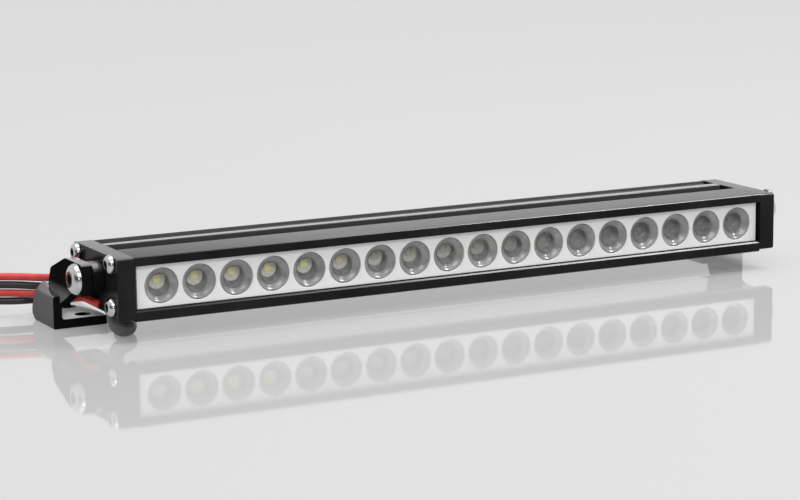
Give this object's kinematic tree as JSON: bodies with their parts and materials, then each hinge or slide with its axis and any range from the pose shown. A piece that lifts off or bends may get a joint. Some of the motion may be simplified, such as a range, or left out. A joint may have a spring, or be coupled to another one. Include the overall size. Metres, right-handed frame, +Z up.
{
  "type": "led light bar",
  "caption": "Slim scale-model light bar: a black housing with one row of round clear lenses in a white plate, on two swivelling foot brackets.",
  "frame": {"origin": "on the underside of the left foot, which is the mounting plane, midway between its two screw holes", "axes": "+X along the bar towards the end without leads, -Y the way the light shines, +Z up from the mounting plane"},
  "size_m": [0.1894, 0.0482, 0.0168],
  "materials": {
    "black_anodised": "black anodised aluminium, brushed, satin",
    "black_bracket": "black anodised aluminium, smooth, half gloss",
    "white_plate": "white, satin",
    "clear_lens": "clear moulded optic, polished",
    "led_phosphor": "yellow phosphor",
    "board_white": "white solder mask",
    "stainless": "polished stainless steel",
    "red_silicone": "satin silicone insulation",
    "black_silicone": "satin silicone insulation"
  },
  "bodies": {
    "left_bracket": {"bracket_left": "black_bracket", "lead_red_upper": "red_silicone", "lead_black_upper": "black_silicone", "lead_red_lower": "red_silicone", "lead_black_lower": "black_silicone", "lead_sleeve": "black_silicone"},
    "light_bar": {"housing": "black_anodised", "led_board": "board_white", "bezel_plate": "white_plate", "lens_01": "clear_lens", "lens_02": "clear_lens", "lens_03": "clear_lens", "lens_04": "clear_lens", "lens_05": "clear_lens", "lens_06": "clear_lens", "lens_07": "clear_lens", "lens_08": "clear_lens", "lens_09": "clear_lens", "lens_10": "clear_lens", "lens_11": "clear_lens", "lens_12": "clear_lens", "lens_13": "clear_lens", "lens_14": "clear_lens", "lens_15": "clear_lens", "lens_16": "clear_lens", "lens_17": "clear_lens", "lens_18": "clear_lens", "led_01": "led_phosphor", "led_02": "led_phosphor", "led_03": "led_phosphor", "led_04": "led_phosphor", "led_05": "led_phosphor", "led_06": "led_phosphor", "led_07": "led_phosphor", "led_08": "led_phosphor", "led_09": "led_phosphor", "led_10": "led_phosphor", "led_11": "led_phosphor", "led_12": "led_phosphor", "led_13": "led_phosphor", "led_14": "led_phosphor", "led_15": "led_phosphor", "led_16": "led_phosphor", "led_17": "led_phosphor", "led_18": "led_phosphor", "end_cap_left": "black_anodised", "cap_screw_left_1": "stainless", "cap_screw_left_2": "stainless", "cap_screw_left_3": "stainless", "cap_screw_left_4": "stainless", "pivot_spacer_left": "black_bracket", "pivot_bolt_left": "stainless", "end_cap_right": "black_anodised", "cap_screw_right_1": "stainless", "cap_screw_right_2": "stainless", "cap_screw_right_3": "stainless", "cap_screw_right_4": "stainless", "pivot_spacer_right": "black_bracket", "pivot_bolt_right": "stainless"},
    "right_bracket": {"bracket_right": "black_bracket"}
  },
  "joints": [
    {"name": "bar_tilt", "type": "hinge", "parent": "left_bracket", "child": "light_bar", "pos_m": [-0.0047, -0.0171, 0.0115], "axis": [1, 0, 0], "range_deg": [-15, 20], "deforming": ["lead_red_upper", "lead_black_upper", "lead_red_lower", "lead_black_lower", "lead_sleeve"]},
    {"name": "right_bracket_swivel", "type": "hinge", "parent": "light_bar", "child": "right_bracket", "pos_m": [0.1521, -0.0171, 0.0115], "axis": [1, 0, 0], "range_deg": [-20, 15]}
  ],
  "couplings": [
    {"joint": "right_bracket_swivel", "follows": "bar_tilt", "ratio": -1}
  ]
}
